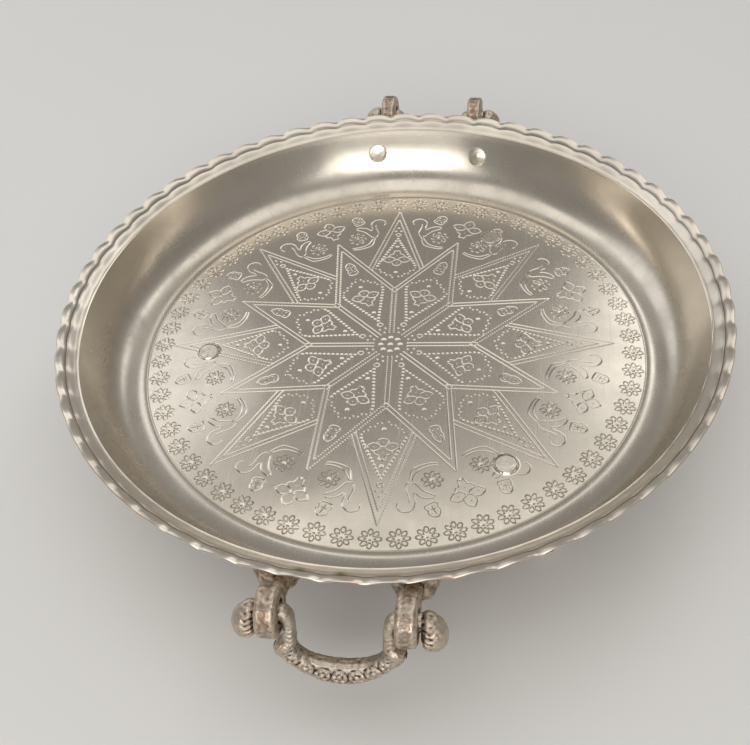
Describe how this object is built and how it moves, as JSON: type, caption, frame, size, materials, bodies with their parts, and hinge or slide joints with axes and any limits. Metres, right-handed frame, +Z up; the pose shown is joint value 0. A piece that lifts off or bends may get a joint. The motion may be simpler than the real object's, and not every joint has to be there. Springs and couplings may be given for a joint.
{
  "type": "footed tray",
  "caption": "Round footed serving tray of tinned copper with an engraved star floor, a fluted rim, riveted cast feet and swinging bail handles.",
  "frame": {"origin": "on the table under the middle of the dish, at the bottom centre of the bounding box", "axes": "+Z up, -Y towards the front handle, +X to the right of it"},
  "size_m": [0.4048, 0.4671, 0.0799],
  "materials": {
    "tinned_sheet": "satin, tinned",
    "casting": "rough cast, tin worn to copper on the high spots",
    "rivet": "satin, tinned"
  },
  "bodies": {
    "tray": {"tray_body": "tinned_sheet", "front_left_eye_bracket": "casting", "front_right_eye_bracket": "casting", "rear_left_eye_bracket": "casting", "rear_right_eye_bracket": "casting", "front_left_bracket_rivet": "rivet", "front_right_bracket_rivet": "rivet", "rear_left_bracket_rivet": "rivet", "rear_right_bracket_rivet": "rivet", "left_foot": "casting", "rear_foot": "casting", "front_foot": "casting", "left_foot_rivet": "rivet", "rear_foot_rivet": "rivet", "front_foot_rivet": "rivet"},
    "front_bail": {"front_handle": "casting"},
    "rear_bail": {"rear_handle": "casting"}
  },
  "joints": [
    {"name": "front_bail_swing", "type": "hinge", "parent": "tray", "child": "front_bail", "pos_m": [0, -0.21707, 0.0653], "axis": [-1, 0, 0], "range_deg": [-58, 195]},
    {"name": "rear_bail_swing", "type": "hinge", "parent": "tray", "child": "rear_bail", "pos_m": [0.00833, 0.21691, 0.0653], "axis": [0.9993, -0.0384, 0], "range_deg": [-58, 195]}
  ]
}
